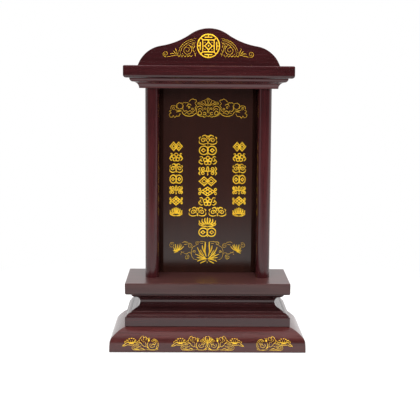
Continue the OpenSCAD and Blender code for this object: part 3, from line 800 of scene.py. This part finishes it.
def plinth_half_spray():
    """Half of a spray on the plinth: across runs from its outer tip, up is the height on the face."""
    w = SPRAY_LINE
    leaf = [brush(0.55, (4.2, 9.2), (2.0, 7.7), (0.2, 6.1)), brush(0.5, (5.0, 7.2), (2.7, 6.3), (0.2, 5.9)),
            brush(0.5, (3.0, 9.0), (2.4, 10.4), (3.6, 11.4))]
    bloom = [dot(0.95, at) for at in ((4.7, 12.1), (6.6, 13.5), (8.8, 14.0), (11.0, 13.7), (12.8, 12.4))]
    bloom += [brush(0.75, (3.8, 10.3), (8.6, 9.7), (13.2, 10.6)),
              brush(1.0, (6.4, 8.6), (8.8, 8.9), (11.4, 8.5)),
              brush(0.45, (4.8, 7.6), (8.0, 7.0), (11.6, 7.4))]
    bloom += [line(0.26, (6.3 + 1.7 * i, 10.4), (5.9 + 2.0 * i, 12.4)) for i in range(4)]
    low_leaf = [
        line(w, (16.4, 7.8), (13.1, 7.8), (10.1, 6.0), (9.4, 3.9), (10.7, 2.2), (14.3, 2.2), (17.9, 3.1)),
        line(w, (15.8, 6.2), (12.8, 6.2), (11.0, 4.6), (12.2, 3.4), (15.5, 4.0)),
        line(w, (13.2, 4.9), (15.6, 5.1), (18.2, 6.4)), brush(0.55, (17.4, 4.2), (19.2, 3.4), (21.0, 2.6)),
        brush(0.4, (12.2, 9.2), (14.6, 10.8), (16.4, 12.8)),
        brush(0.4, (12.6, 8.2), (16.0, 9.6), (18.6, 8.6)),
    ]
    open_bloom = [
        line(w, (16.7, 13.0), (16.3, 10.8), (18.2, 9.0), (19.6, 6.6), (22.0, 5.2)),
        line(w, (16.8, 13.4), (18.4, 15.6), (19.9, 15.9), (20.3, 14.0)),
        line(w, (20.3, 14.2), (22.0, 15.3), (23.3, 14.1), (22.4, 12.0)), dot(0.75, (20.7, 10.6)),
        brush(w, (18.2, 13.4), (18.6, 12.0), (19.6, 11.0)),
        brush(w, (19.4, 13.6), (20.2, 12.9), (21.0, 12.2)),
        line(w, (22.0, 10.4), (22.7, 7.6), (22.0, 5.4)),
    ]
    bud = [dot(1.25, (25.3, 12.2)), dot(0.95, (25.3, 11.2))]
    bud += [brush(0.4, (25.3 + 0.5 * i, 13.0), (25.3 + 1.2 * i, 14.9 - 0.5 * i * i)) for i in (-1, 0, 1)]
    bud += [brush(0.55, (24.6, 10.2), (23.9, 7.2), (25.2, 3.8)),
            brush(0.6, (22.8, 5.9), (24.4, 4.4), (25.8, 3.2))]
    loop = [
        line(w, (27.4, 10.8), (29.2, 13.0), (31.5, 13.0), (33.9, 10.5), (34.6, 7.5), (33.7, 4.5),
             (31.5, 2.9)),
        line(w, (28.6, 10.4), (30.0, 11.8), (31.4, 11.7), (33.0, 9.8), (33.4, 7.4), (32.4, 5.0)),
        brush(0.42, (29.4, 9.4), (31.4, 9.8), (31.2, 8.0), (28.6, 7.5), (27.4, 5.7)), dot(0.55, (29.2, 8.6)),
        line(w, (26.8, 8.6), (26.2, 6.4), (28.0, 4.5), (31.2, 5.9)), dot(0.5, (30.8, 7.0)),
        brush(0.55, (32.3, 4.1), (33.2, 3.2), (34.2, 2.8)),
    ]
    foot = [brush(0.42, (10.7, 1.9), (17.4, 1.8), (23.0, 2.1)),
            brush(0.45, (23.4, 2.4), (28.8, 1.9), (34.0, 2.2))]
    return leaf + bloom + low_leaf + open_bloom + bud + loop + foot


def plinth_palmette():
    """The small palmette in the middle of the plinth's front."""
    w = PALMETTE_LINE
    half = [line(w, (0.3, 9.4), (2.4, 10.6), (4.4, 12.6), (4.0, 14.4), (2.4, 14.2), (1.6, 12.4)),
            line(w, (0.3, 11.0), (1.6, 13.0), (2.0, 15.4), (0.4, 16.0)),
            brush(0.5, (1.0, 3.4), (2.4, 2.8), (3.8, 2.4))]
    return mirrored(half) + [brush(0.55, (0, 9.0), (0, 11.4), (0, 13.8))]


def plinth_sprays():
    """Three sprays along the plinth's front: two half ones at the ends and a full one in the middle."""
    half = plinth_half_spray()
    strokes = []
    for tip in (SPRAY_TIP, MIDDLE_SPRAY_TIP):
        strokes += placed(half, -tip, 0) + placed(half, tip, 0, flip=-1)
    fine = thinned(strokes + plinth_palmette(), SPRAY_FINE)
    return [[(x, SPRAY_FOOT + SPRAY_RISE * z, w) for x, z, w in stroke] for stroke in fine]


# Gilt pieces: a tree lays the strokes on a face and raises them as a low round line

# Height of a line as a share of its half width, sides of its round, and how far in front of the
# ground the strokes are drawn
GILT_THICKNESS = 0.35
GILT_SIDES = 8
LAYING_GAP = 5 * mm


def make_gilt_tree():
    """Casts the strokes back on the ground, turns their profile to its face and sweeps it along them."""
    tree, given, out = add_group(
        "raised gilt line", "GeometryNodeTree",
        [("Geometry", "NodeSocketGeometry", None), ("Ground", "NodeSocketObject", None),
         ("Thickness", "NodeSocketFloat", GILT_THICKNESS), ("Sides", "NodeSocketInt", GILT_SIDES),
         ("Gilt", "NodeSocketMaterial", None)],
        [("Geometry", "NodeSocketGeometry", None)])
    ground = add_node(tree, "GeometryNodeObjectInfo", {"Object": given["Ground"]}, transform_space="RELATIVE")
    hit = add_node(tree, "GeometryNodeRaycast",
                   {"Target Geometry": ground.outputs["Geometry"], "Ray Direction": (0, 1, 0),
                    "Ray Length": 1.0})
    faced = add_node(tree, "GeometryNodeSetCurveNormal",
                     {"Curve": given["Geometry"], "Normal": hit.outputs["Hit Normal"]}, mode="FREE")
    laid = add_node(tree, "GeometryNodeSetPosition",
                    {"Geometry": faced.outputs["Curve"], "Selection": hit.outputs["Is Hit"],
                     "Position": hit.outputs["Hit Position"]})
    circle = add_node(tree, "GeometryNodeCurvePrimitiveCircle", {"Resolution": given["Sides"], "Radius": 1.0})
    flat = add_node(tree, "ShaderNodeCombineXYZ", {"X": given["Thickness"], "Y": 1.0, "Z": 1.0})
    profile = add_node(tree, "GeometryNodeTransform",
                       {"Geometry": circle.outputs["Curve"], "Scale": flat.outputs["Vector"]})
    width = add_node(tree, "GeometryNodeInputRadius").outputs["Radius"]
    swept = add_node(tree, "GeometryNodeCurveToMesh",
                     {"Curve": laid.outputs["Geometry"], "Profile Curve": profile.outputs["Geometry"],
                      "Scale": width, "Fill Caps": True})
    shaded = add_node(tree, "GeometryNodeSetShadeSmooth", {"Geometry": swept.outputs["Mesh"]})
    real = add_node(tree, "GeometryNodeRealizeInstances", {"Geometry": shaded.outputs["Geometry"]})
    gilded = add_node(tree, "GeometryNodeSetMaterial",
                      {"Geometry": real.outputs["Geometry"], "Material": given["Gilt"]})
    tree.links.new(gilded.outputs["Geometry"], out["Geometry"])
    return tree


def make_gilt():
    """Gilt paint: uneven warm gold, mottled from a deep to a bright tone."""
    made, tree, shader, place = new_finish("gilt line")
    shader["Specular Tint"].default_value = rgba(GILT_SHEEN)
    shader["Metallic"].default_value = GILT_METAL
    mottle = noise(tree, place, GILT_SCALE, 3, 0.6)
    tone = spread(tree, mottle, GILT_SPAN)
    tree.links.new(blend(tree, tone, rgba(GILT_DEEP), rgba(GILT_BRIGHT)), shader["Base Color"])
    tree.links.new(spread(tree, mottle, NOISE_SPAN, GILT_ROUGHNESS), shader["Roughness"])
    return made


def gilt_piece(name, strokes, node):
    """A piece of raised gilt: strokes drawn in front of a node, up from its foot, and laid on it."""
    low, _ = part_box(node)
    front = low.y - LAYING_GAP
    foot = round(low.z / mm, 1)
    drawn = bpy.data.curves.new(name + "_strokes", "CURVE")
    drawn.dimensions = "3D"
    for stroke in strokes:
        spline = drawn.splines.new("POLY")
        spline.points.add(len(stroke) - 1)
        places = [(x * mm, front, (foot + z) * mm, 1) for x, z, _ in stroke]
        spline.points.foreach_set("co", [v for place in places for v in place])
        spline.points.foreach_set("radius", [w * mm for _, _, w in stroke])
    source = link(bpy.data.objects.new(name + "_strokes", drawn))
    laying = source.modifiers.new("raised gilt line", "NODES")
    laying.node_group = gilt_tree
    sockets = {s.name: s.identifier for s in gilt_tree.interface.items_tree if s.in_out == "INPUT"}
    laying[sockets["Ground"]] = dressed.get(node, frame["nodes"][node])
    laying[sockets["Thickness"]] = GILT_THICKNESS
    laying[sockets["Sides"]] = GILT_SIDES
    laying[sockets["Gilt"]] = gilt
    piece = link(bpy.data.objects.new(name, evaluated_mesh(source)))
    bpy.data.objects.remove(source)
    use_material(piece, gilt)
    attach(piece, "tablet")


gilt_tree = make_gilt_tree()
gilt = make_gilt()
gilt_piece("crest_gilt", crest_scrolls(), "crest_board")
gilt_piece("panel_garland_gilt", panel_garland(), "inscription_panel")
gilt_piece("panel_emblem_gilt", panel_emblems(), "inscription_panel")
gilt_piece("panel_lotus_gilt", panel_lotus(), "inscription_panel")
gilt_piece("plinth_gilt", plinth_sprays(), "plinth_front_moulding")


# Studio: a pale floor, a white room with a dark front, soft lamps and the camera

FLOOR_FRONT, FLOOR_FAR = -0.72, 4.0
FLOOR_Z = -0.1 * mm
# The floor's own glow and grey where it shows shadows, its grey for the light it throws back,
# and how far from the tablet the shadows fade out
FLOOR_GLOW, FLOOR_GREY, FLOOR_BOUNCE = 0.60, (0.26, 0.26, 0.26), (0.40, 0.40, 0.40)
SHADOW_FADE = (0.30, 0.45)

ROOM_AMBIENT = (0.20, 0.20, 0.20)
ROOM_DARK = (0.045, 0.045, 0.045)
ROOM_LOW = (0.42, 0.17, 0.15)
ROOM_HIGH = (0.44, 0.43, 0.42)
ROOM_CEILING = 0.85
WHITE = (1, 1, 1)
# Heights above the horizon where the room's tones change, and how far round its dark front reaches,
# in degrees
CEILING_RISE, HIGH_RISE, LOW_FALL = (25, 60), (42, 64), (0, -7)
FRONT_REACH = (94, 70)

# Lamps: name, place, what they point at, side of the square and watts
LAMPS = (
    ("overhead softbox", (0, -0.22, 1.40), (0, 0, 0.15), 0.9, 49),
    ("front fill", (0, -1.30, 0.65), (0, 0, 0.16), 0.6, 14),
    ("rear fill", (-1.1, 0.8, 0.6), (0, 0, 0.16), 0.6, 8),
    ("rear fill", (1.1, 0.8, 0.6), (0, 0, 0.16), 0.6, 8),
)

# Camera: its turns are in radians, its lens and sensor in millimetres
CAMERA_PLACE = (-13.547 * mm, -955.6 * mm, 258.712 * mm)
CAMERA_PITCH, CAMERA_ROLL, CAMERA_YAW = 0.13307, 0.00714, -0.01639
CAMERA_LENS, CAMERA_SENSOR = 84.64, 36
CAMERA_NEAR, CAMERA_FAR = 0.05, 20


def seen_rays(tree):
    """1 for rays from the camera and rays mirrored or let through by the object."""
    path = add_node(tree, "ShaderNodeLightPath").outputs
    either = reckon(tree, "MAXIMUM", path["Is Camera Ray"], path["Is Glossy Ray"])
    return reckon(tree, "MAXIMUM", either, path["Is Transmission Ray"])


def make_floor():
    """A white floor that keeps the tablet's shadow near it."""
    mesh = bpy.data.meshes.new("floor")
    corners = [(-FLOOR_FAR, FLOOR_FRONT), (FLOOR_FAR, FLOOR_FRONT),
               (FLOOR_FAR, FLOOR_FAR), (-FLOOR_FAR, FLOOR_FAR)]
    mesh.from_pydata([(x, y, FLOOR_Z) for x, y in corners], [], [(0, 1, 2, 3)])
    floor = link(bpy.data.objects.new("floor", mesh))
    made, tree, _, place = new_finish("pale floor")
    tree.nodes.remove(tree.nodes["Principled BSDF"])
    reach = add_node(tree, "ShaderNodeVectorMath", {0: place}, operation="LENGTH").outputs["Value"]
    glow = add_node(tree, "ShaderNodeEmission", {"Strength": FLOOR_GLOW})
    shade = add_node(tree, "ShaderNodeBsdfDiffuse", {"Color": rgba(FLOOR_GREY)})
    near = add_node(tree, "ShaderNodeAddShader", {0: glow.outputs[0], 1: shade.outputs[0]})
    far = add_node(tree, "ShaderNodeEmission", {"Strength": 1.0})
    seen = add_node(tree, "ShaderNodeMixShader",
                    {0: spread(tree, reach, SHADOW_FADE), 1: near.outputs[0], 2: far.outputs[0]})
    bounce = add_node(tree, "ShaderNodeBsdfDiffuse", {"Color": rgba(FLOOR_BOUNCE)})
    mixed = add_node(tree, "ShaderNodeMixShader",
                     {0: seen_rays(tree), 1: bounce.outputs[0], 2: seen.outputs[0]})
    tree.links.new(mixed.outputs[0], tree.nodes["Material Output"].inputs["Surface"])
    use_material(floor, made)


def make_room():
    """White to the camera, even light on matt faces, and a white room with a dark front in mirrored rays."""
    room = bpy.data.worlds.new("studio room")
    bpy.context.scene.world = room
    room.use_nodes = True
    tree = room.node_tree
    way = add_node(tree, "ShaderNodeTexCoord").outputs["Generated"]
    height = add_node(tree, "ShaderNodeSeparateXYZ", {0: way}).outputs["Z"]
    forward = add_node(tree, "ShaderNodeVectorMath", {0: way, 1: (0, -1, 0)}, operation="DOT_PRODUCT")

    def rise(degrees, gives=(0.0, 1.0), curve="SMOOTHSTEP"):
        return spread(tree, height, [sin(radians(turn)) for turn in degrees], gives, curve)

    wall = rise(CEILING_RISE, (1.0, ROOM_CEILING))
    lower = blend(tree, rise(LOW_FALL, curve="LINEAR"), rgba(ROOM_DARK), rgba(ROOM_LOW))
    dark = blend(tree, rise(HIGH_RISE), lower, rgba(ROOM_HIGH))
    front = spread(tree, forward.outputs["Value"], [cos(radians(turn)) for turn in FRONT_REACH],
                   curve="SMOOTHSTEP")
    lit = blend(tree, seen_rays(tree), rgba(ROOM_AMBIENT), blend(tree, front, wall, dark))
    from_camera = add_node(tree, "ShaderNodeLightPath").outputs["Is Camera Ray"]
    background = tree.nodes["Background"].inputs
    tree.links.new(blend(tree, from_camera, lit, rgba(WHITE)), background["Color"])
    background["Strength"].default_value = 1.0


def add_lamp(name, place, target, size, watts):
    """A square soft lamp that lights the tablet and isn't mirrored in it."""
    lamp = bpy.data.lights.new(name, "AREA")
    lamp.shape = "SQUARE"
    lamp.size = size
    lamp.energy = watts
    holder = link(bpy.data.objects.new(name, lamp))
    holder.location = place
    holder.rotation_mode = "QUATERNION"
    holder.rotation_quaternion = (Vector(target) - Vector(place)).to_track_quat("-Z", "Y")
    holder.visible_glossy = False


def make_camera():
    """The camera, placed as the photo was taken."""
    lens = bpy.data.cameras.new("camera")
    lens.lens = CAMERA_LENS
    lens.sensor_width = CAMERA_SENSOR
    lens.sensor_fit = "HORIZONTAL"
    lens.clip_start = CAMERA_NEAR
    lens.clip_end = CAMERA_FAR
    camera = link(bpy.data.objects.new("camera", lens))
    turn = (Matrix.Rotation(CAMERA_YAW, 4, "Z") @ Matrix.Rotation(pi / 2 - CAMERA_PITCH, 4, "X")
            @ Matrix.Rotation(CAMERA_ROLL, 4, "Z"))
    camera.matrix_world = Matrix.Translation(CAMERA_PLACE) @ turn
    bpy.context.scene.camera = camera


make_floor()
make_room()
for lamp in LAMPS:
    add_lamp(*lamp)
make_camera()
bpy.context.scene.view_settings.view_transform = "Standard"
